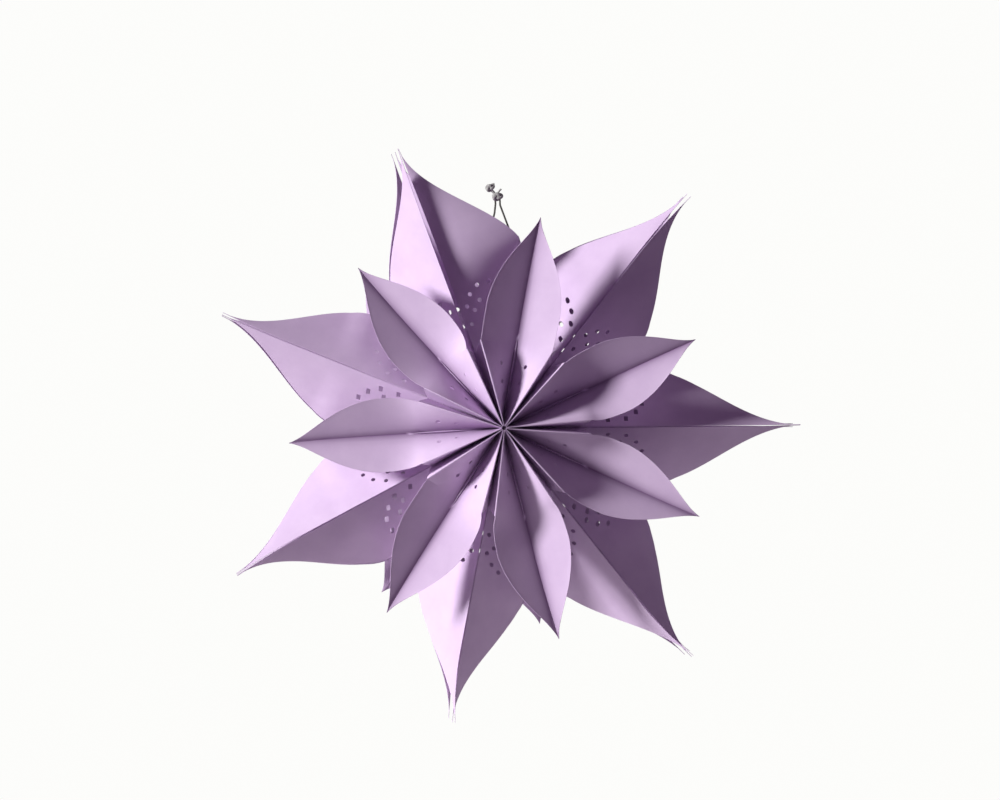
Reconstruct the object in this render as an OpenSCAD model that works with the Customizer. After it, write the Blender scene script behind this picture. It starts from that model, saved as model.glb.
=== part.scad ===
// Hanging paper star: seven folded, die-cut paper units glued into a ring, with a tied cord.
// X points right, Y points to the back and Z points up. The origin is where the cord hangs on a hook.

/* [Star] */
// Distance from the star's axis to the tips of the large petals
large_reach = 225; // [200:1:300]
// Distance from the star's axis to the tips of the small petals
small_reach = 161; // [140:1:190]
// Thickness of the paper
paper = 0.3; // [0.2:0.05:0.4]
// Radius of the empty core where the units meet
core_radius = 3; // [3:0.1:5]

/* [Folds] */
// Distance of the small petals' creases in front of the middle plane
crease_depth = 51; // [40:0.5:60]
// Flat width of a small petal's half, from its crease to its outer fold
petal_half = 30.5; // [28:0.1:34]
// Flat width of the narrow wedge between the outer fold and the seam
wedge_width = 23; // [18:0.1:27]
// Flat width of the wall from the seam to the middle plane
wall_half = 59; // [56:0.1:70]
// Share of the angle from crease to seam at which the outer fold lies
fold_share = 0.8; // [0.72:0.01:0.84]
// Fall of a seam towards the middle plane, for each millimetre outwards
seam_fall = 0.16; // [0.1:0.01:0.2]
// Width of the bend in a sharp fold
bend_width = 0.4; // [0.35:0.01:0.5]
// Opening angle of a small petal's half, from the star's axis
open_angle = 68; // [60:1:75]
// Height by which the large petals' halves bow to the outside
petal_bow = 2; // [0:0.1:4]
// Height of the pleat that stands in a small petal's crease
pleat_height = 3.5; // [1:0.1:6]
// Half of the pleat's greatest width
pleat_half = 1.4; // [0.6:0.1:2]
// Clearance between a seam and the neighbouring unit
seam_gap = 0.06; // [0.02:0.01:0.2]

/* [Cuts] */
// Distance from the axis to the apex of the notch in each seam
notch_apex = 60; // [50:0.5:66]
// Distance from the axis to the outer ends of that notch
notch_end = 62.5; // [60:0.5:75]
// End of the pleat in the small petals
pleat_end = 70; // [64:1:90]
// Distance from the axis to the root of the cleft between front and back petals
cleft_root = 114; // [100:1:130]
// Distance from the axis at which the small petals start to narrow
shoulder = 90; // [80:1:100]
// Fullness of the large petals' outline
leaf_fullness = 1; // [0.8:0.01:1.6]
// Diameter of the punched holes
punch_diameter = 3.2; // [2:0.1:5]
// Distance of the small petals' holes from the crease
petal_hole_offset = 13.4; // [8:0.1:18]

/* [Cord] */
// Diameter of the hanging cord
cord_diameter = 1.5; // [1:0.1:2.5]
// Length of the lower knot
knot_length = 8; // [6:0.5:12]
// Length of the upper knot
top_knot_length = 7; // [5:0.5:10]
// Length of the stop knots behind the paper
stop_knot_length = 6; // [5:0.5:8]
// Width of a knot as a share of its length
knot_width_share = 0.7; // [0.5:0.05:0.9]

/* [Hidden] */

// Directions of the small petals' creases, and of the seams before and after each
creases = [80, 24.5, -24.5, -75.5, -122.5, -176.5, -227.5];
seams_before = [109.3, 51.5, 0.5, -51, -100, -151.5, -202];
seams_after = [51.5, 0.5, -51, -100, -151.5, -202, -249.5];

// Where the hook holds the cord, seen from the star's centre
hook = [-4.5, 20, 173.5];

// The cord's route, seen from the star's centre
cord_route = [[-24.5, 40, 90], [-21, 35, 104], [-17, 30, 120], [-13, 26, 136], [-9, 23, 152],
    [-6.5, 21, 165], [-6, 20, 172], [-6.3, 20, 176], [-4.5, 20, 179], [-2.7, 20, 176], [-2.5, 20, 171],
    [6.5, 24, 150], [15, 27, 132], [25, 31, 110], [36, 36, 88], [46.5, 40, 67]];

// Room between a seam's plane and the paper, then what folds and walls leave free near the core
seam_offset = paper * 0.6 + seam_gap;
fold_clearance = 0.7;
core_clearance = 0.6;

// Rows across a sheet: the first ones run through all panels, the rest are apart in each petal
joined_rows = 4;
petal_rows = 14;
cleft_row = 6;
petal_place = [for (i = [0:petal_rows]) petal_row(i)];
seam_place = [for (i = [0:petal_rows]) seam_row(i)];

function petal_row(i) = i <= joined_rows
    ? core_radius + (notch_end - core_radius) * i / joined_rows
    : notch_end + (small_reach - notch_end) * spread((i - joined_rows) / (petal_rows - joined_rows));
function seam_row(i) = i <= joined_rows
    ? core_radius + (notch_apex - core_radius) * i / joined_rows
    : i <= cleft_row
    ? notch_apex + (cleft_root - notch_apex) * (i - joined_rows) / (cleft_row - joined_rows)
    : cleft_root + (large_reach - cleft_root) * spread((i - cleft_row) / (petal_rows - cleft_row));
// Rows lie closer together towards the tips
function spread(x) = 1.25 * x - 0.25 * x * x;

// Half width of a small petal as seen from the front, then its section
function narrowing(x) = x <= 0 ? 1 : max(0, (1 - pow(x, 1.7)) * (1 - 0.65 * pow(x, 4)));
function petal_width(u) = petal_half * narrowing((u - shoulder) / (small_reach - shoulder));
function fold_place(u, half) = fold_share * (u * tan(half) - fold_clearance);
function fold_angle(u, half) = asin(min(0.95, fold_place(u, half) / petal_half));
function petal_angle(u, half) = u <= notch_end
    ? fold_angle(u, half)
    : open_angle - (open_angle - fold_angle(notch_end, half)) * exp((notch_end - u) / 12);
function pleat(u) = u < pleat_end ? sin(180 * (u - core_radius) / (pleat_end - core_radius)) : 0;
function crease_half(u) = bend_width / 2 + pleat_half * pleat(u);

// Height of a seam above the middle plane
function wedge_drop(u, half) = sqrt(pow(wedge_width, 2) - pow(u * tan(half) - fold_place(u, half), 2));
function inner_seam(u, half) = crease_depth + petal_half * cos(fold_angle(u, half)) - wedge_drop(u, half);
function seam_height(u, half) = u <= notch_apex
    ? inner_seam(u, half)
    : inner_seam(notch_apex, half) - seam_fall * (u - notch_apex);

// Flat width of a large petal's half, measured from its seam, then its tilt
function large_width(u) = u <= cleft_root
    ? wall_half
    : wall_half * max(0.005, leaf((u - cleft_root) / (large_reach - cleft_root)));
function leaf(x) = (1 + cos(180 * pow(x, leaf_fullness))) / 2;
function cleft_gap(u) = bend_width + (u <= cleft_root ? 0 : paper);
function steepness(u, half) = (seam_height(u, half) - cleft_gap(u)) / large_width(u);
function large_tilt(u, half) = asin(min(steepness(u, half), steepness(cleft_root, half)));

// A point beside the line in direction a: u along it, s towards larger angles, f to the front
function place(a, u, s, f) = [u * cos(a) - s * sin(a), -f, u * sin(a) + s * cos(a)];

// A point on a small petal's half, at a share of its width
function petal_point(i, share, crease, half, side, face) =
    let (
        u = petal_place[i],
        angle = petal_angle(u, half),
        wide = petal_width(u) * share,
        start = share == 0 ? crease_half(u) : bend_width / 2,
        s = max(start, wide * sin(angle) - (share == 1 ? bend_width / 2 : 0)),
        f = crease_depth + wide * cos(angle)
    )
    place(crease, u, side * s, face * f);

// The outer side of the sharp fold, and the ridge of the pleat
function fold_point(i, crease, half, side, face) =
    let (u = petal_place[min(i, joined_rows)])
    place(crease, u, side * (fold_place(u, half) + bend_width / 2),
        face * (crease_depth + petal_half * cos(fold_angle(u, half))));
function pleat_point(i, crease, face) =
    let (u = petal_place[i])
    place(crease, u, 0, face * (crease_depth + pleat_height * pleat(u)));

// How far a half bows to the outside, at a share of its width
function bow_height(share) = petal_bow * 4 * share * (1 - share);

// A point on the wall or on a large petal's half, at a share of its width from the seam
function wall_point(i, share, seam, half, side, face) =
    let (
        u = seam_place[i],
        tilt = large_tilt(u, half),
        wide = large_width(u) * share,
        reach = min(wide * cos(tilt), share * (u * sin(half) - core_clearance)),
        bow = bow_height(share) * min(1, large_width(u) / wall_half) * min(1, u / notch_apex),
        drop = u <= cleft_root
            ? share * (seam_height(u, half) - cleft_gap(u))
            : wide * sin(tilt)
    )
    place(seam, u, -side * (seam_offset + reach), face * (seam_height(u, half) - drop + bow));

// The columns of one quarter of a unit in one row, from its crease to the middle plane
function quarter(i, crease, seam, side, face) =
    let (half = abs(seam - crease))
    [
        petal_point(i, 0, crease, half, side, face),
        petal_point(i, 0.5, crease, half, side, face),
        petal_point(i, 1, crease, half, side, face),
        fold_point(i, crease, half, side, face),
        wall_point(i, 0, seam, half, side, face),
        wall_point(i, 0.5, seam, half, side, face),
        wall_point(i, 1, seam, half, side, face),
    ];
function backwards(list) = [for (i = [len(list) - 1:-1:0]) list[i]];

// One row right round a unit
function unit_row(i, crease, before, after) = concat(
    backwards(quarter(i, crease, before, 1, 1)),
    [pleat_point(i, crease, 1)],
    quarter(i, crease, after, -1, 1),
    backwards(quarter(i, crease, after, -1, -1)),
    [pleat_point(i, crease, -1)],
    quarter(i, crease, before, 1, -1)
);

// Which cells hold paper: walls and petals run to their tips, wedges and the middle strip end before
columns = 30;
last_row = [for (j = [0:columns - 1])
    let (k = j % 15)
    k == 2 || k == 3 || k == 10 || k == 11 ? joined_rows : k == 14 ? cleft_row : petal_rows];
function has_paper(i, j) = i >= 0 && i < last_row[j];
function next(j) = (j + 1) % columns;
function previous(j) = (j + columns - 1) % columns;

function unit_vector(v) = v / norm(v);
function cell_normal(rows, i, j) = unit_vector(cross(
    rows[i + 1][next(j)] - rows[i][j],
    rows[i + 1][j] - rows[i][next(j)]));
function corner_normal(rows, i, j) =
    let (
        cells = [for (c = [[i - 1, previous(j)], [i - 1, j], [i, previous(j)], [i, j]])
            if (has_paper(c[0], c[1])) cell_normal(rows, c[0], c[1])],
        mean = unit_vector([for (axis = [0:2]) total([for (c = cells) c[axis]])])
    )
    mean / max(0.6, min([for (c = cells) mean * c]));
function total(list) = list * [for (x = list) 1];

// A sheet of paper over the cells of the grid: both faces, and an edge wherever the paper ends
module sheet(rows) {
    side = len(rows) * columns;
    used = [for (i = [0:petal_rows]) for (j = [0:columns - 1])
        has_paper(i - 1, previous(j)) || has_paper(i - 1, j) || has_paper(i, previous(j)) || has_paper(i, j)];
    normals = [for (i = [0:petal_rows]) for (j = [0:columns - 1])
        used[i * columns + j] ? corner_normal(rows, i, j) : [0, 0, 0]];
    middle = [for (row = rows) each row];
    outer = [for (k = [0:side - 1]) middle[k] + normals[k] * paper / 2];
    inner = [for (k = [0:side - 1]) middle[k] - normals[k] * paper / 2];
    faces = [for (i = [0:petal_rows - 1]) for (j = [0:columns - 1]) if (has_paper(i, j))
        let (
            a = i * columns + j,
            b = i * columns + next(j),
            c = (i + 1) * columns + next(j),
            d = (i + 1) * columns + j
        )
        each concat(
            [[a, b, c], [a, c, d]],
            [[c + side, b + side, a + side], [d + side, c + side, a + side]],
            has_paper(i - 1, j) ? [] : [[b, a, a + side], [b, a + side, b + side]],
            has_paper(i + 1, j) ? [] : [[d, c, c + side], [d, c + side, d + side]],
            has_paper(i, previous(j)) ? [] : [[a, d, d + side], [a, d + side, a + side]],
            has_paper(i, next(j)) ? [] : [[c, b, b + side], [c, b + side, c + side]]
        )];
    polyhedron(points = concat(outer, inner), faces = faces, convexity = 12);
}

// A round punch through the paper at a point, along a direction
module punch(at, along) {
    translate(at)
        rotate([0, acos(along[2] / norm(along)), atan2(along[1], along[0])])
            cylinder(d = punch_diameter, h = 6, center = true, $fn = 24);
}

// Holes of one large petal's half, as distance from the axis and flat distance from the seam
large_holes = [[81, 9], [95, 9], [103, 15.5], [108, 24.5], [108, 36.5], [90.5, 17], [96.5, 25]];
petal_holes = [34.5, 48];

module petal_punches(crease, half, side, face) {
    for (u = petal_holes) {
        angle = petal_angle(u, half);
        punch(
            place(crease, u, side * petal_hole_offset * sin(angle),
                face * (crease_depth + petal_hole_offset * cos(angle))),
            place(crease, 0, -side * cos(angle), face * sin(angle)));
    }
}

module large_punches(seam, half, side, face) {
    for (hole = large_holes) {
        tilt = large_tilt(hole[0], half);
        height = seam_height(hole[0], half) - hole[1] * sin(tilt) + bow_height(hole[1] / wall_half);
        punch(
            place(seam, hole[0], -side * hole[1] * cos(tilt), face * height),
            place(seam, 0, -side * sin(tilt), -face * cos(tilt)) * -1);
    }
}

// One folded unit between two seams
module unit(index) {
    crease = creases[index];
    before = seams_before[index];
    after = seams_after[index];
    color("plum")
        translate(-hook)
            difference() {
                sheet([for (i = [0:petal_rows]) unit_row(i, crease, before, after)]);
                for (face = [-1, 1]) {
                    petal_punches(crease, before - crease, 1, face);
                    petal_punches(crease, crease - after, -1, face);
                    large_punches(before, before - crease, 1, face);
                    large_punches(after, crease - after, -1, face);
                }
            }
}

// A tube swept along hand-placed points, closed by flat ends
module tube(points, diameter) {
    sides = 8;
    count = len(points);
    rings = [for (i = [0:count - 1])
        let (
            along = unit_vector(points[min(i + 1, count - 1)] - points[max(i - 1, 0)]),
            across = unit_vector(cross(along, [0, 1, 0])),
            up = cross(across, along)
        )
        for (k = [0:sides - 1])
            points[i] + diameter / 2 * (across * cos(360 * k / sides) + up * sin(360 * k / sides))];
    polyhedron(
        points = rings,
        faces = concat(
            [[for (k = [sides - 1:-1:0]) k]],
            [[for (k = [0:sides - 1]) (count - 1) * sides + k]],
            [for (i = [0:count - 2]) for (k = [0:sides - 1]) each [
                [i * sides + k, i * sides + (k + 1) % sides, (i + 1) * sides + k],
                [i * sides + (k + 1) % sides, (i + 1) * sides + (k + 1) % sides, (i + 1) * sides + k]]]));
}

// A tight knot: turns of the cord pulled into a short barrel that lies across it
module knot(at, length, tilt) {
    width = length * knot_width_share;
    translate(at)
        rotate([0, 90 + tilt, 0])
            rotate_extrude($fn = 32)
                polygon([[0, -length / 2], [width / 3, -length / 2], [width / 2, -length / 4],
                    [width / 2, length / 4], [width / 3, length / 2], [0, length / 2]]);
}

// The cord runs from one stop knot through the top unit up to the hook and down to the other
module hanging_cord() {
    color("dimgray") translate(-hook) tube(cord_route, cord_diameter);
}

// The knots on the cord, and its cut ends above them
module cord_knots() {
    color("darkgray") translate(-hook) {
        knot([-4.5, 20, 178], knot_length, 10);
        knot([-10.5, 20, 184.5], top_knot_length, 10);
        tube([[-6, 20, 180], [-9, 20, 183]], cord_diameter * 1.4);
        tube([[-10, 20, 185], [-6.5, 20, 187.5]], cord_diameter);
        tube([[-4, 20, 179], [-1.5, 20, 183.5]], cord_diameter);
        knot(cord_route[0] + [-1, 1.6, -2], stop_knot_length, 0);
        knot(cord_route[len(cord_route) - 1] + [1, 1.6, -2], stop_knot_length, 0);
    }
}

unit(0);  // unit_1
unit(1);  // unit_2
unit(2);  // unit_3
unit(3);  // unit_4
unit(4);  // unit_5
unit(5);  // unit_6
unit(6);  // unit_7
hanging_cord();
cord_knots();
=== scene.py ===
import math

import bpy
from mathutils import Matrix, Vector


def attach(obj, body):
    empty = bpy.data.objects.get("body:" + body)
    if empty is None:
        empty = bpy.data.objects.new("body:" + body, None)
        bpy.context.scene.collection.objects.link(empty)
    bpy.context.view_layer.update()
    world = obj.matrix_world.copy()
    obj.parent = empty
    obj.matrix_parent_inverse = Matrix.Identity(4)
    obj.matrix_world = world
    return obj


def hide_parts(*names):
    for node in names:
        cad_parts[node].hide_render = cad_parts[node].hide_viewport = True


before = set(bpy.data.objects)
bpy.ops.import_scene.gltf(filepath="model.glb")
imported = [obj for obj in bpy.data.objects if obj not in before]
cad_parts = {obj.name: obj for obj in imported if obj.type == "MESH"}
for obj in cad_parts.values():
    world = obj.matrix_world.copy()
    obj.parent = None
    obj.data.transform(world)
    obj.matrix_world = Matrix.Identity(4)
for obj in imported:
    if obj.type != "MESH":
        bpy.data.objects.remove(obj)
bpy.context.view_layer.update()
print("frame loaded")

starCentre = Vector((0.0045, -0.020, -0.1735))  # the hook is the origin, the star hangs under it


def clearSelection():
    if bpy.context.object and bpy.context.object.mode != "OBJECT":
        bpy.ops.object.mode_set(mode="OBJECT")
    bpy.ops.object.select_all(action="DESELECT")


def activate(piece):
    clearSelection()
    piece.select_set(True)
    bpy.context.view_layer.objects.active = piece


# Camera, straight at the star's axis from a little to the left
view = {
    "metresPerPixel": 0.000763,
    "distance": 3.7,
    "turnLeft": 3.5,       # degrees off the star's axis
    "centrePixel": (497.5, 428),
    "imageSize": (1000, 800),
}


def addCamera():
    data = bpy.data.cameras.new("viewCamera")
    camera = bpy.data.objects.new("viewCamera", data)
    bpy.context.scene.collection.objects.link(camera)
    turn = math.radians(view["turnLeft"])
    back = Vector((-math.sin(turn), -math.cos(turn), 0))
    camera.location = starCentre + back * view["distance"]
    camera.rotation_mode = "QUATERNION"
    camera.rotation_quaternion = (-back).to_track_quat("-Z", "Y")
    width, height = view["imageSize"]
    data.lens = data.sensor_width * view["distance"] / (width * view["metresPerPixel"])
    data.shift_x = -(view["centrePixel"][0] - width / 2) / width
    data.shift_y = (view["centrePixel"][1] - height / 2) / width
    data.clip_start, data.clip_end = 0.1, 50
    bpy.context.scene.camera = camera


addCamera()
print("camera placed")

# The hanging cord: two legs from the paper up to the knot, in mm from the star's centre
cordMake = {
    "diameter": 0.0015,
    "route": [(-24, 40, 90), (-19, 35, 104), (-13.5, 30, 120), (-8.5, 26, 136), (-4, 23, 152),
              (-1, 21, 165), (-0.3, 20, 172), (-0.6, 20, 176), (1.2, 20, 179), (3, 20, 176),
              (3.2, 20, 171), (11.5, 24, 150), (19, 27, 132), (28, 31, 110), (37.5, 36, 88),
              (46.5, 40, 67)],
}


def fromCentre(point):
    # from mm to metres
    return starCentre + Vector(point) * 0.001


def curveTube(name, points, radius):
    data = bpy.data.curves.new(name, "CURVE")
    data.dimensions = "3D"
    data.bevel_depth = radius
    data.bevel_resolution = 4
    data.use_fill_caps = True
    line = data.splines.new("POLY").points
    line.add(len(points) - 1)
    for knotPoint, place in zip(line, points):
        knotPoint.co = (*place, 1)
    piece = bpy.data.objects.new(name, data)
    bpy.context.scene.collection.objects.link(piece)
    return piece


def makeCord():
    points = [fromCentre(p) for p in cordMake["route"]]
    legs = curveTube("cordLegs", points, cordMake["diameter"] / 2)
    activate(legs)
    bpy.ops.object.convert(target="MESH")
    bpy.ops.object.shade_smooth()
    return bpy.context.object, points


# The knots: turns of the same cord, wound into lumps, in mm from the star's centre
knotMake = {
    "strand": 0.00075,     # radius of the cord, in metres
    "lower": (1, 20, 177.5),
    "upper": (-4.6, 20, 184.3),
    "lowerSize": (3.5, 2.0, 2.3),
    "upperSize": (3.0, 1.8, 2.0),
    "stopSize": (2.0, 1.5, 1.6),
    "lowerSwell": 1.7,     # strands pulled tight into a knot look this much thicker
    "upperSwell": 1.6,
    "neckSwell": 1.5,
    "stopSwell": 1.2,
    "stopOffset": (1, 1.6, -2),
    "lowerLean": 0.2,      # radians
    "upperLean": 0.5,
    "turns": 2,
    "turnSteps": 34,
    "windMean": 0.66,      # a wind swells between the sum and the difference of these
    "windSwing": 0.34,
    "windBeat": 1.5,       # swells in each turn
    "windDepth": 0.7,
    "neck": [(-0.6, 20, 179), (-2, 20, 181), (-3.5, 20, 182.6)],
    "endUpper": [(-4.5, 20, 185.5), (-2.9, 19.6, 187), (-1.1, 19.6, 187.3)],
    "endLower": [(1.5, 20, 180), (2.6, 19.4, 182), (4, 19.2, 183.4)],
}


def windTurns(name, centre, size, lean, swell):
    # a trefoil-like wind, so that the strands cross over each other
    m = knotMake
    points = []
    steps = m["turnSteps"] * m["turns"]
    for step in range(steps + 1):
        angle = 2 * math.pi * m["turns"] * step / steps
        reach = m["windMean"] + m["windSwing"] * math.cos(m["windBeat"] * angle)
        x = size[0] * reach * math.cos(angle)
        z = size[2] * reach * math.sin(angle)
        y = size[1] * m["windDepth"] * math.sin(m["windBeat"] * angle)
        points.append(fromCentre((
            centre[0] + x * math.cos(lean) - z * math.sin(lean),
            centre[1] + y,
            centre[2] + x * math.sin(lean) + z * math.cos(lean))))
    return curveTube(name, points, m["strand"] * swell)


def strandTube(name, swell=1):
    points = [fromCentre(p) for p in knotMake[name]]
    return curveTube(name, points, knotMake["strand"] * swell)


def knotLump(centre, size):
    # a ball of 1 mm, stretched to the knot's size
    bpy.ops.mesh.primitive_uv_sphere_add(segments=24, ring_count=14, radius=0.001,
                                         location=fromCentre(centre))
    lump = bpy.context.object
    lump.scale = size
    bpy.ops.object.transform_apply(location=False, rotation=False, scale=True)
    return lump


def makeKnots():
    m = knotMake
    tubes = [
        windTurns("windLower", m["lower"], m["lowerSize"], m["lowerLean"], m["lowerSwell"]),
        windTurns("windUpper", m["upper"], m["upperSize"], m["upperLean"], m["upperSwell"]),
        strandTube("neck", m["neckSwell"]),
        strandTube("endUpper"),
        strandTube("endLower"),
    ]
    offset = m["stopOffset"]
    for end, side in ((cordMake["route"][0], -1), (cordMake["route"][-1], 1)):
        middle = (end[0] + side * offset[0], end[1] + offset[1], end[2] + offset[2])
        tubes.append(windTurns("windStop", middle, m["stopSize"], 0, m["stopSwell"]))
    # a lump fills the middle of each pulled knot, so that no light comes through
    tubes += [knotLump(m["lower"], m["lowerSize"]), knotLump(m["upper"], m["upperSize"])]
    clearSelection()
    for tube in tubes:
        tube.select_set(True)
    bpy.context.view_layer.objects.active = tubes[0]
    bpy.ops.object.convert(target="MESH")
    bpy.ops.object.join()
    knots = bpy.context.object
    knots.name = "pulledKnots"
    activate(knots)
    bpy.ops.object.shade_smooth()
    return knots


cordLegs, cordLine = makeCord()
knots = makeKnots()
for piece, node, slotName in ((cordLegs, "hanging_cord", "cord"), (knots, "cord_knots", "knots")):
    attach(piece, "root")
    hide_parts(node)
print("cord and knots made")

# The folded units: one sheet of card each, with the same folds and cuts as the solids, in metres
# and degrees
sheetMake = {
    "thickness": 0.0003,
    "coreRadius": 0.0016,
    "creaseDepth": 0.051,
    "petalHalf": 0.0305,
    "wedgeWidth": 0.023,
    "wallHalf": 0.059,
    "foldShare": 0.8,
    "foldInset": 0.0004,   # keeps an outer fold off the seam beside it
    "foldLeast": 0.0001,
    "steepestFold": 0.95,  # sine of the steepest angle of a petal at its fold
    "seamFall": 0.16,
    "bend": 0.0002,        # half of the width of a sharp fold
    "openAngle": 68,
    "openLength": 0.012,   # a petal opens over about this length beyond its notch
    "bow": 0.002,
    "pleatHeight": 0.0035,
    "pleatHalf": 0.0014,
    "seamGap": 0.00012,
    "seamCard": 0.6,       # the part of the card's thickness kept free on each side of a seam
    "seamSpread": 0.0018,  # how far the seam opens towards the tip, for each metre
    "coreInset": 0.0006,   # keeps the two walls of one unit apart near the core
    "backShift": 0.0007,   # the seams at the back lie this far beside those at the front
    "backClosing": 110.3,  # where the ring closes at the back
    "firstWiden": 1.14,    # the half beside the closing seam is wider and, in front, lies flatter
    "firstRelax": 0.75,
    "relaxFrom": 0.070,
    "relaxTo": 0.150,
    "closingFrom": 0.090,  # where the closing seam begins to turn to its tip
    "closingPower": 1.5,
    "closingTip": 109.9,   # where the two halves beside the closing seam meet at their tips
    "leafDriftFrom": 0.170,
    "holeShift": 0.0015,   # the holes at the back lie this far to the left of those at the front
    "holeStep": 0.003,     # how far from a hole the slope of its wall is felt
    "holeShare": 0.05,
    "notchApex": 0.060,
    "notchEnd": 0.0625,
    "pleatEnd": 0.070,
    "cleftRoot": 0.114,
    "cleftWiden": 0.0003,  # how far the front and back petals part beyond the cleft
    "shoulder": 0.090,     # where a small petal is fullest
    "petalFullness": 1.7,
    "petalHollow": 0.65,   # how much thinner its tip runs out
    "leafLeast": 0.005,    # the part of a large petal's width that is left at its tip
    "smallReach": 0.161,
    "largeReach": 0.225,
    "punch": 0.0032,
    "rodLength": 0.005,
    "rodSides": 20,
    "shadeAngle": 22,      # edges sharper than this stay sharp
    "creaseSpread": 0.0032,     # the shade beside a crease fades over about this distance
    "creaseDepthSpan": 0.002,   # it is kept to points less than this far inside the crease
    "ridgeHalf": 0.0004,        # and off the ridge of the pleat
    "petalHoles": [(0.0345, 0.0134), (0.048, 0.0134)],
    "wallHoles": [(0.081, 0.009), (0.095, 0.009), (0.103, 0.0155), (0.108, 0.0245),
                  (0.108, 0.0365), (0.0905, 0.017), (0.0965, 0.025)],
    "creases": [80, 24.5, -24.5, -75.5, -122.5, -176.5, -227.5],
    "seamsBefore": [109.3, 51.5, 0.5, -51, -100, -151.5, -202],
    "seamsAfter": [51.5, 0.5, -51, -100, -151.5, -202, -249.5],
    "mergeDistance": 0.0000005,
    "rowCrowding": 0.25,   # rows lie closer together towards a tip
    "joinedRows": 10,      # the first rows, up to the notch
    "cleftRow": 16,        # from here on the front and back petals are apart
    "rows": 46,
    "petalShares": [0, 0.05, 0.16, 0.3, 0.44, 0.58, 0.72, 0.86, 0.95, 1],
    "wedgeShares": [0.33, 0.66],
    "wallShares": [0, 0.05, 0.14, 0.26, 0.38, 0.5, 0.62, 0.74, 0.86, 0.95, 1],
}
# How far the tips lie off the even star, in metres to the right and up: the small petals in front,
# those at the back, then the large petal before each unit and the one after the seventh
petalDrift = [(0.0015, 0), (0, 0), (0.003, 0), (0.003, -0.003), (0, -0.003), (0.0008, -0.0015),
              (0.0008, 0.0015)]
backPetalDrift = [(0.008, -0.001), (0, 0), (0, 0), (-0.0045, 0.0045), (0, 0.009), (0.009, 0),
                  (0.008, -0.001)]
leafDrift = [(0, 0), (0.0045, 0.001), (0.0045, 0), (0.0053, 0.0015), (0.0046, -0.0015),
             (-0.001, -0.0038), (-0.001, 0.0023), (0, 0)]
# How far the tip of each half has moved, in metres sideways and to the front: the half of each unit
# at the seam before it, then the half at the seam after it
tipDrift = [
    ((0.0005, 0.001), (0.001, 0.002)),
    ((-0.001, 0.0015), (0.0, 0.001)),
    ((0.001, -0.001), (-0.0015, 0.002)),
    ((0.0015, 0.001), (-0.002, 0.0)),
    ((0.0015, -0.001), (0.0, 0.001)),
    ((0.0, 0.001), (0.0005, 0.001)),
    ((0.0, -0.001), (0.0, 0.0)),
]


def degSin(a):
    return math.sin(math.radians(a))


def degCos(a):
    return math.cos(math.radians(a))


def crowd(x):
    extra = sheetMake["rowCrowding"]
    return (1 + extra) * x - extra * x * x


def lateShare(u, start, end):
    # 0 up to the start, and 1 at the end
    return max(0, (u - start) / (end - start))


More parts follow.
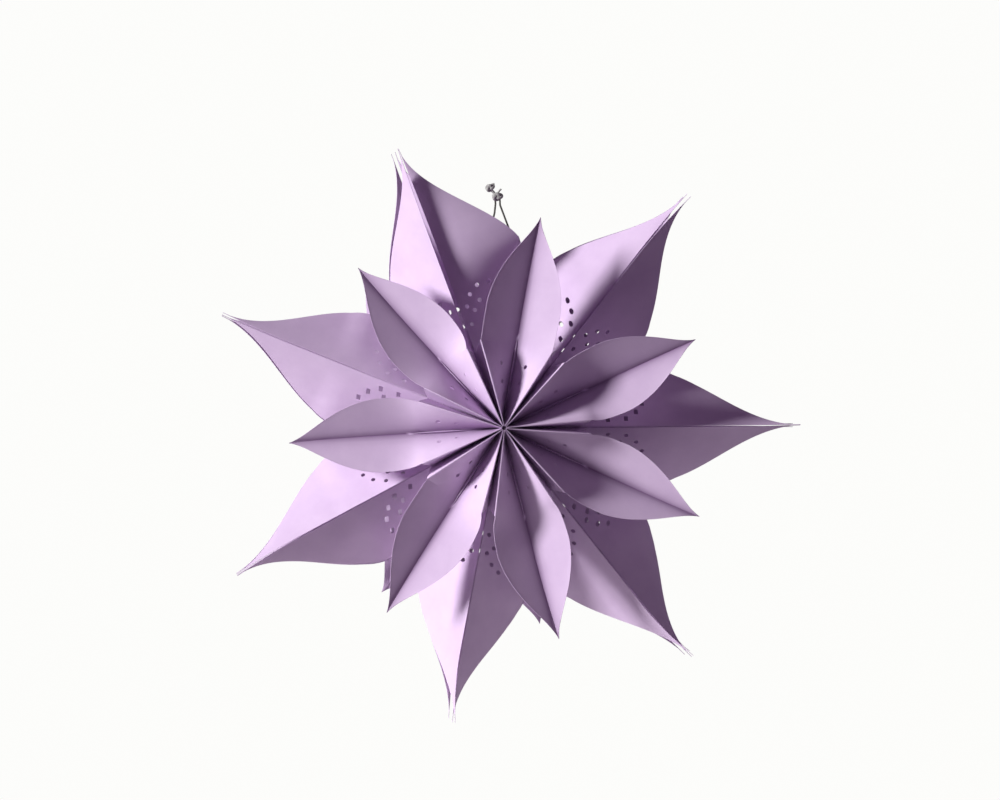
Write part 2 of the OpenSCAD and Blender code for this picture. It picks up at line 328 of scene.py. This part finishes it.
class FoldedUnit:
    # all that is needed to place a point of one folded sheet
    def __init__(self, index):
        self.index = index
        self.crease = sheetMake["creases"][index]
        self.seams = {1: sheetMake["seamsBefore"][index], -1: sheetMake["seamsAfter"][index]}
        self.drift = {1: tipDrift[index][0], -1: tipDrift[index][1]}
        self.leafDrift = {1: leafDrift[index], -1: leafDrift[index + 1]}
        self.widen = {1: sheetMake["firstWiden"] if index == 0 else 1, -1: 1}

    def half(self, side):
        return abs(self.seams[side] - self.crease)

    def petalRow(self, row):
        m = sheetMake
        if row <= m["joinedRows"]:
            return m["coreRadius"] + (m["notchEnd"] - m["coreRadius"]) * row / m["joinedRows"]
        x = (row - m["joinedRows"]) / (m["rows"] - m["joinedRows"])
        return m["notchEnd"] + (m["smallReach"] - m["notchEnd"]) * crowd(x)

    def wallRow(self, row):
        m = sheetMake
        if row <= m["joinedRows"]:
            return m["coreRadius"] + (m["notchApex"] - m["coreRadius"]) * row / m["joinedRows"]
        if row <= m["cleftRow"]:
            x = (row - m["joinedRows"]) / (m["cleftRow"] - m["joinedRows"])
            return m["notchApex"] + (m["cleftRoot"] - m["notchApex"]) * x
        x = (row - m["cleftRow"]) / (m["rows"] - m["cleftRow"])
        return m["cleftRoot"] + (m["largeReach"] - m["cleftRoot"]) * crowd(x)

    def petalWidth(self, u):
        # an ogee outline: full at the shoulder, hollow before the tip
        m = sheetMake
        x = lateShare(u, m["shoulder"], m["smallReach"])
        outline = (1 - x ** m["petalFullness"]) * (1 - m["petalHollow"] * x ** 4)
        return m["petalHalf"] * max(0, outline)

    def foldPlace(self, u, side):
        m = sheetMake
        tangent = math.tan(math.radians(self.half(side)))
        return max(m["foldLeast"], m["foldShare"] * (u * tangent - m["foldInset"]))

    def foldAngle(self, u, side):
        sine = self.foldPlace(u, side) / sheetMake["petalHalf"]
        return math.degrees(math.asin(min(sheetMake["steepestFold"], sine)))

    def petalAngle(self, u, side):
        m = sheetMake
        if u <= m["notchEnd"]:
            return self.foldAngle(u, side)
        start = self.foldAngle(m["notchEnd"], side)
        closed = math.exp((m["notchEnd"] - u) / m["openLength"])
        return m["openAngle"] - (m["openAngle"] - start) * closed

    def pleat(self, u):
        m = sheetMake
        if u >= m["pleatEnd"]:
            return 0
        return math.sin(math.pi * (u - m["coreRadius"]) / (m["pleatEnd"] - m["coreRadius"]))

    def innerSeam(self, u, side):
        m = sheetMake
        across = u * math.tan(math.radians(self.half(side))) - self.foldPlace(u, side)
        drop = math.sqrt(m["wedgeWidth"] ** 2 - across ** 2)
        return m["creaseDepth"] + m["petalHalf"] * degCos(self.foldAngle(u, side)) - drop

    def seamHeight(self, u, side):
        m = sheetMake
        if u <= m["notchApex"]:
            return self.innerSeam(u, side)
        return self.innerSeam(m["notchApex"], side) - m["seamFall"] * (u - m["notchApex"])

    def wallWidth(self, u, side):
        m = sheetMake
        full = m["wallHalf"] * self.widen[side]
        if u <= m["cleftRoot"]:
            return full
        x = (u - m["cleftRoot"]) / (m["largeReach"] - m["cleftRoot"])
        leaf = (1 + math.cos(math.pi * x)) / 2
        return full * max(m["leafLeast"], leaf)

    def cleftGap(self, u):
        m = sheetMake
        return 2 * m["bend"] + (0 if u <= m["cleftRoot"] else m["cleftWiden"])

    def steepness(self, u, side):
        return (self.seamHeight(u, side) - self.cleftGap(u)) / self.wallWidth(u, side)

    def relax(self, u, side, face):
        # how much flatter the front half beside the closing seam lies than the others
        m = sheetMake
        if self.index != 0 or side != 1 or face != 1:
            return 0
        x = min(1, lateShare(u, m["relaxFrom"], m["relaxTo"]))
        return m["firstRelax"] * x * x * (3 - 2 * x)

    def wallTilt(self, u, side, face):
        m = sheetMake
        steep = min(self.steepness(u, side), self.steepness(m["cleftRoot"], side))
        return math.degrees(math.asin(steep)) * (1 - self.relax(u, side, face))

    def seamAngle(self, u, side, face):
        # the ring closes between the first unit and the last; in front, its tips meet again
        m = sheetMake
        first = self.index == 0 and side == 1
        last = self.index == len(m["creases"]) - 1 and side == -1
        if first and face == -1:
            return m["backClosing"]
        if not (first or last) or face == -1:
            return self.seams[side]
        tip = m["closingTip"] - (0 if first else 360)
        late = lateShare(u, m["closingFrom"], m["largeReach"]) ** m["closingPower"]
        return self.seams[side] + (tip - self.seams[side]) * late

    def place(self, angle, u, s, f):
        return starCentre + Vector((
            u * degCos(angle) - s * degSin(angle), -f, u * degSin(angle) + s * degCos(angle)))

    def petalOff(self, u, face):
        late = lateShare(u, sheetMake["shoulder"], sheetMake["smallReach"]) ** 2
        right, up = (petalDrift if face > 0 else backPetalDrift)[self.index]
        return Vector((right * late, 0, up * late))

    def petalPoint(self, row, share, side, face):
        m = sheetMake
        u = self.petalRow(row)
        angle = self.petalAngle(u, side)
        wide = self.petalWidth(u) * share
        start = m["bend"] + (m["pleatHalf"] * self.pleat(u) if share == 0 else 0)
        s = max(start, wide * degSin(angle) - (m["bend"] if share == 1 else 0))
        forward = face * (m["creaseDepth"] + wide * degCos(angle))
        return self.place(self.crease, u, side * s, forward) + self.petalOff(u, face)

    def foldPoint(self, row, side, face):
        m = sheetMake
        u = self.petalRow(min(row, m["joinedRows"]))
        forward = face * (m["creaseDepth"] + m["petalHalf"] * degCos(self.foldAngle(u, side)))
        return self.place(self.crease, u, side * (self.foldPlace(u, side) + m["bend"]), forward)

    def pleatPoint(self, row, face):
        u = self.petalRow(row)
        ridge = sheetMake["creaseDepth"] + sheetMake["pleatHeight"] * self.pleat(u)
        return self.place(self.crease, u, 0, face * ridge) + self.petalOff(u, face)

    def wallSpot(self, u, share, side, face):
        m = sheetMake
        tilt = self.wallTilt(u, side, face)
        width = self.wallWidth(u, side)
        wide = width * share
        space = max(0, u * degSin(self.half(side)) - m["coreInset"])
        reach = min(wide * degCos(tilt), share * space)
        bow = m["bow"] * 4 * share * (1 - share) * min(1, width / m["wallHalf"])
        bow *= min(1, u / m["notchApex"])
        height = self.seamHeight(u, side)
        drop = share * (height - self.cleftGap(u)) * (1 - self.relax(u, side, face))
        if u > m["cleftRoot"]:
            drop = wide * degSin(tilt)
        gap = m["seamGap"] + m["thickness"] * m["seamCard"]
        gap += m["seamSpread"] * max(0, u - m["notchApex"])
        late = lateShare(u, m["leafDriftFrom"], m["largeReach"]) ** 2
        sideways, forwards = self.drift[side]
        shift = sideways * late * face + (m["backShift"] if face < 0 else 0)
        flat = self.place(self.seamAngle(u, side, face), u, -side * (gap + reach) + shift,
                          face * (height - drop + bow) + forwards * late)
        right, up = self.leafDrift[side]
        return flat + Vector((right * late, 0, up * late))

    def wallPoint(self, row, share, side, face):
        return self.wallSpot(self.wallRow(row), share, side, face)

    def quarter(self, row, side, face):
        m = sheetMake
        points = [self.petalPoint(row, share, side, face) for share in m["petalShares"]]
        fold = self.foldPoint(row, side, face)
        seam = self.wallPoint(row, 0, side, face)
        points.append(fold)
        points += [fold.lerp(seam, share) for share in m["wedgeShares"]]
        points += [self.wallPoint(row, share, side, face) for share in m["wallShares"]]
        return points

    def faceRow(self, row, face):
        before, after = self.quarter(row, 1, face), self.quarter(row, -1, face)
        return before[::-1] + [self.pleatPoint(row, face)] + after

    def ring(self, row):
        return self.faceRow(row, 1) + self.faceRow(row, -1)[::-1]


def lastRows():
    # how far each strip of the sheet reaches, from one column to the next right round a unit
    m = sheetMake
    petalStrips = [m["rows"]] * (len(m["petalShares"]) - 1)
    wedgeStrips = [m["joinedRows"]] * (len(m["wedgeShares"]) + 2)
    wallStrips = [m["rows"]] * (len(m["wallShares"]) - 1)
    quarter = petalStrips + wedgeStrips + wallStrips
    pleatStrips = [m["rows"]] * 2
    face = quarter[::-1] + pleatStrips + quarter
    return (face + [m["cleftRow"]]) * 2


def foldSheet(unit):
    # a flat grid is folded by moving its points, then what the die cuts away is deleted
    m = sheetMake
    last = lastRows()
    rings = [unit.ring(row) for row in range(m["rows"] + 1)]
    clearSelection()
    bpy.ops.mesh.primitive_grid_add(x_subdivisions=len(last), y_subdivisions=m["rows"], size=1,
                                    location=(0, 0, 0))
    sheet = bpy.context.object
    sheet.name = f"foldedSheet{unit.index + 1}"
    wide = len(last) + 1
    for row, ring in enumerate(rings):
        for column in range(wide):
            sheet.data.vertices[row * wide + column].co = ring[column % len(last)]
    bpy.ops.object.mode_set(mode="EDIT")
    bpy.ops.mesh.select_mode(type="FACE")
    bpy.ops.mesh.select_all(action="DESELECT")
    bpy.ops.object.mode_set(mode="OBJECT")
    for row in range(m["rows"]):
        for column, end in enumerate(last):
            sheet.data.polygons[row * len(last) + column].select = row >= end
    bpy.ops.object.mode_set(mode="EDIT")
    bpy.ops.mesh.delete(type="FACE")
    bpy.ops.mesh.select_all(action="SELECT")
    bpy.ops.mesh.remove_doubles(threshold=m["mergeDistance"])
    bpy.ops.mesh.normals_make_consistent(inside=False)
    bpy.ops.object.mode_set(mode="OBJECT")
    solid = sheet.modifiers.new("card", "SOLIDIFY")
    solid.thickness = m["thickness"]
    solid.offset = 0
    bpy.ops.object.modifier_apply(modifier=solid.name)
    return sheet


def petalRod(unit, u, v, side, face):
    angle = unit.petalAngle(u, side)
    middle = unit.place(unit.crease, u, side * v * degSin(angle),
                        face * (sheetMake["creaseDepth"] + v * degCos(angle)))
    along = unit.place(unit.crease, 0, -side * degCos(angle), face * degSin(angle)) - starCentre
    return middle, along


def wallRod(unit, u, v, side, face):
    m = sheetMake
    if face < 0:
        seam = unit.seams[side]
        v += -side * m["holeShift"] * degSin(seam) / degCos(unit.wallTilt(u, side, face))
        u -= m["holeShift"] * degCos(seam)
    share = v / unit.wallWidth(u, side)

    def spot(du, dshare):
        return unit.wallSpot(u + du, share + dshare, side, face)

    across = spot(0, m["holeShare"]) - spot(0, -m["holeShare"])
    radial = spot(m["holeStep"], 0) - spot(-m["holeStep"], 0)
    return spot(0, 0), across.cross(radial)


def punchRods(unit):
    # one rod for each round hole, square to the paper
    m = sheetMake
    rods = []
    for side in (1, -1):
        for face in (1, -1):
            rods += [petalRod(unit, u, v, side, face) for u, v in m["petalHoles"]]
            rods += [wallRod(unit, u, v, side, face) for u, v in m["wallHoles"]]
    clearSelection()
    made = []
    for middle, along in rods:
        bpy.ops.mesh.primitive_cylinder_add(
            vertices=m["rodSides"], radius=m["punch"] / 2, depth=m["rodLength"], location=middle,
            rotation=along.to_track_quat("Z", "Y").to_euler())
        made.append(bpy.context.object)
    clearSelection()
    for rod in made:
        rod.select_set(True)
    bpy.context.view_layer.objects.active = made[0]
    bpy.ops.object.join()
    return bpy.context.object


def markCreaseShade(unit, sheet):
    # how near each point lies to the crease of a small petal, as the mask for the painted shade
    # that the material lays beside it
    mark = sheet.data.attributes.new("nearCrease", "FLOAT", "POINT")
    m = sheetMake
    nearest = m["creaseDepth"] - m["creaseDepthSpan"]
    for point, value in zip(sheet.data.vertices, mark.data):
        offset = point.co - starCentre
        across = -offset.x * degSin(unit.crease) + offset.z * degCos(unit.crease)
        outwards = offset.x * degCos(unit.crease) + offset.z * degSin(unit.crease)
        ridge = outwards < m["pleatEnd"] and abs(across) < m["ridgeHalf"]
        if abs(offset.y) > nearest and outwards > 0 and not ridge:
            value.value = math.exp(-abs(across) / m["creaseSpread"])


def makeUnit(index):
    unit = FoldedUnit(index)
    sheet = foldSheet(unit)
    rods = punchRods(unit)
    activate(sheet)
    cut = sheet.modifiers.new("punches", "BOOLEAN")
    cut.operation = "DIFFERENCE"
    cut.solver = "MANIFOLD"
    cut.object = rods
    bpy.ops.object.modifier_apply(modifier=cut.name)
    bpy.data.objects.remove(rods)
    # marks where the painted shade beside each crease goes
    markCreaseShade(unit, sheet)
    activate(sheet)
    bpy.ops.object.shade_smooth_by_angle(angle=math.radians(sheetMake["shadeAngle"]))
    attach(sheet, "root")
    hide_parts(f"unit_{index + 1}")
    print("unit", index + 1, "folded:", len(sheet.data.polygons), "faces")
    return sheet


sheets = [makeUnit(index) for index in range(len(sheetMake["creases"]))]


# Materials
speckleMake = {
    "blotchDetail": 5,
    "blotchRoughness": 0.6,
    "fibreDetail": 3,
    "darkBelow": 0.3,      # blotches darker than this take the dark colour
    "lightAbove": 0.7,
    "reliefStrength": 0.5,
    "sheen": 0.3,
}


def colourOf(code):
    # a written colour, such as b090c0, as the renderer's own numbers
    parts = [int(code[k:k + 2], 16) / 255 for k in (0, 2, 4)]
    return (*[((c + 0.055) / 1.055) ** 2.4 if c > 0.04 else c / 12.92 for c in parts], 1)


def speckleGroup():
    # soft blotches and fine fibres, shared by the card and the cord
    group = bpy.data.node_groups.new("fibreSpeckle", "ShaderNodeTree")
    group.interface.new_socket("Blotch Size", in_out="INPUT", socket_type="NodeSocketFloat")
    group.interface.new_socket("Fibre Size", in_out="INPUT", socket_type="NodeSocketFloat")
    group.interface.new_socket("Blotch", in_out="OUTPUT", socket_type="NodeSocketFloat")
    group.interface.new_socket("Fibre", in_out="OUTPUT", socket_type="NodeSocketFloat")
    nodes, links = group.nodes, group.links
    start, end = nodes.new("NodeGroupInput"), nodes.new("NodeGroupOutput")
    place = nodes.new("ShaderNodeTexCoord")
    blotch, fibre = nodes.new("ShaderNodeTexNoise"), nodes.new("ShaderNodeTexNoise")
    blotch.inputs["Detail"].default_value = speckleMake["blotchDetail"]
    blotch.inputs["Roughness"].default_value = speckleMake["blotchRoughness"]
    fibre.inputs["Detail"].default_value = speckleMake["fibreDetail"]
    for noise, name in ((blotch, "Blotch"), (fibre, "Fibre")):
        links.new(place.outputs["Object"], noise.inputs["Vector"])
        links.new(start.outputs[name + " Size"], noise.inputs["Scale"])
        links.new(noise.outputs["Fac"], end.inputs[name])
    return group


speckle = speckleGroup()
# the crease colour below is painted shade, laid beside the creases of the small petals
cardLook = {"light": "dfc8e6", "dark": "d6bede", "roughness": 0.82, "blotchSize": 45,
            "fibreSize": 1400, "relief": 0.00002, "crease": "6b4476", "creaseShade": 0.8}
cordLook = {"light": "5c5c54", "dark": "3a3a34", "roughness": 0.7, "blotchSize": 500,
            "fibreSize": 2600, "relief": 0.00008}
knotLook = {"light": "b6b6b2", "dark": "8c8c88", "roughness": 0.8, "blotchSize": 420,
            "fibreSize": 2600, "relief": 0.0001}


def makeMaterial(name, look):
    material = bpy.data.materials.new(name)
    material.use_nodes = True
    nodes, links = material.node_tree.nodes, material.node_tree.links
    shader = nodes["Principled BSDF"]
    grain = nodes.new("ShaderNodeGroup")
    grain.node_tree = speckle
    grain.inputs["Blotch Size"].default_value = look["blotchSize"]
    grain.inputs["Fibre Size"].default_value = look["fibreSize"]
    tint = nodes.new("ShaderNodeMix")
    tint.data_type = "RGBA"
    tint.inputs["A"].default_value = colourOf(look["dark"])
    tint.inputs["B"].default_value = colourOf(look["light"])
    ramp = nodes.new("ShaderNodeMapRange")
    ramp.inputs["From Min"].default_value = speckleMake["darkBelow"]
    ramp.inputs["From Max"].default_value = speckleMake["lightAbove"]
    bump = nodes.new("ShaderNodeBump")
    bump.inputs["Strength"].default_value = speckleMake["reliefStrength"]
    bump.inputs["Distance"].default_value = look["relief"]
    shader.inputs["Roughness"].default_value = look["roughness"]
    shader.inputs["Specular IOR Level"].default_value = speckleMake["sheen"]
    links.new(grain.outputs["Blotch"], ramp.inputs["Value"])
    links.new(ramp.outputs["Result"], tint.inputs["Factor"])
    colour = tint.outputs["Result"]
    if "crease" in look:
        # painted shade, darker beside the creases, where the light hardly reaches
        near, fold = nodes.new("ShaderNodeAttribute"), nodes.new("ShaderNodeMix")
        near.attribute_name = "nearCrease"
        fold.data_type = "RGBA"
        shade = nodes.new("ShaderNodeMath")
        shade.operation = "MULTIPLY"
        shade.inputs[1].default_value = look["creaseShade"]
        fold.inputs["B"].default_value = colourOf(look["crease"])
        links.new(near.outputs["Fac"], shade.inputs[0])
        links.new(shade.outputs[0], fold.inputs["Factor"])
        links.new(colour, fold.inputs["A"])
        colour = fold.outputs["Result"]
    links.new(colour, shader.inputs["Base Color"])
    links.new(grain.outputs["Fibre"], bump.inputs["Height"])
    links.new(bump.outputs["Normal"], shader.inputs["Normal"])
    return material


def dress(piece, material):
    piece.data.materials.clear()
    piece.data.materials.append(material)


card = makeMaterial("lavenderCard", cardLook)
for sheet in sheets:
    dress(sheet, card)
dress(cordLegs, makeMaterial("waxedCord", cordLook))
dress(knots, makeMaterial("dustyKnot", knotLook))
print("materials made")

# Floor, light and background
room = {
    "floorDrop": 0.5,          # below the hook
    "floorSize": 0.8,
    "floorGlow": 0.55,         # keeps the floor pale where it is seen, without lighting the star
    "floorColour": "f2f1ee",
    "floorRoughness": 0.9,
    "lightDistance": 2,
    "backdrop": (0.978, 0.978, 0.962),
    "keyStrength": 4.5,
    "keyAngle": 68,            # degrees to the left of the view
    "keyLift": 14,             # degrees above it
    "keySoftness": 12,
    "backStrength": 1.9,       # a second light that only reaches the far side
    "backSoftness": 20,
    "backAim": (0.6, 0.75, 0.3),
    "fill": 0.085,
    "fillColour": (1, 0.6, 1.14),
}


def addFloor():
    clearSelection()
    bpy.ops.mesh.primitive_plane_add(size=room["floorSize"], location=(0, 0, -room["floorDrop"]))
    floor = bpy.context.object
    floor.name = "paleFloor"
    material = bpy.data.materials.new("paleFloor")
    material.use_nodes = True
    nodes, links = material.node_tree.nodes, material.node_tree.links
    shader = nodes["Principled BSDF"]
    shader.inputs["Base Color"].default_value = colourOf(room["floorColour"])
    shader.inputs["Emission Color"].default_value = colourOf(room["floorColour"])
    shader.inputs["Roughness"].default_value = room["floorRoughness"]
    glow, path = nodes.new("ShaderNodeMath"), nodes.new("ShaderNodeLightPath")
    glow.operation = "MULTIPLY"
    glow.inputs[1].default_value = room["floorGlow"]
    links.new(path.outputs["Is Camera Ray"], glow.inputs[0])
    links.new(glow.outputs[0], shader.inputs["Emission Strength"])
    floor.data.materials.append(material)


def addLight(name, strength, softness, aim):
    lamp = bpy.data.lights.new(name, "SUN")
    lamp.energy = strength
    lamp.angle = math.radians(softness)
    light = bpy.data.objects.new(name, lamp)
    bpy.context.scene.collection.objects.link(light)
    light.rotation_mode = "QUATERNION"
    light.rotation_quaternion = aim.to_track_quat("Z", "Y")
    light.location = starCentre + aim * room["lightDistance"]


def addWorld():
    world = bpy.data.worlds.new("studio")
    bpy.context.scene.world = world
    world.use_nodes = True
    nodes, links = world.node_tree.nodes, world.node_tree.links
    soft = nodes["Background"]
    soft.inputs["Color"].default_value = (*room["fillColour"], 1)
    soft.inputs["Strength"].default_value = room["fill"]
    seen = nodes.new("ShaderNodeBackground")
    seen.inputs["Color"].default_value = (*room["backdrop"], 1)
    path = nodes.new("ShaderNodeLightPath")
    either, both = nodes.new("ShaderNodeMath"), nodes.new("ShaderNodeMath")
    either.operation = both.operation = "MAXIMUM"
    mix = nodes.new("ShaderNodeMixShader")
    links.new(path.outputs["Is Camera Ray"], either.inputs[0])
    links.new(path.outputs["Is Glossy Ray"], either.inputs[1])
    links.new(either.outputs[0], both.inputs[0])
    links.new(path.outputs["Is Transmission Ray"], both.inputs[1])
    links.new(both.outputs[0], mix.inputs["Fac"])
    links.new(soft.outputs[0], mix.inputs[1])
    links.new(seen.outputs[0], mix.inputs[2])
    links.new(mix.outputs[0], nodes["World Output"].inputs["Surface"])


addFloor()
keyAim = Vector((-degSin(room["keyAngle"]), -degCos(room["keyAngle"]),
                 math.tan(math.radians(room["keyLift"]))))
addLight("windowLight", room["keyStrength"], room["keySoftness"], keyAim)
addLight("backLight", room["backStrength"], room["backSoftness"], Vector(room["backAim"]))
addWorld()
bpy.context.scene.view_settings.view_transform = "Standard"
print("light and floor set")
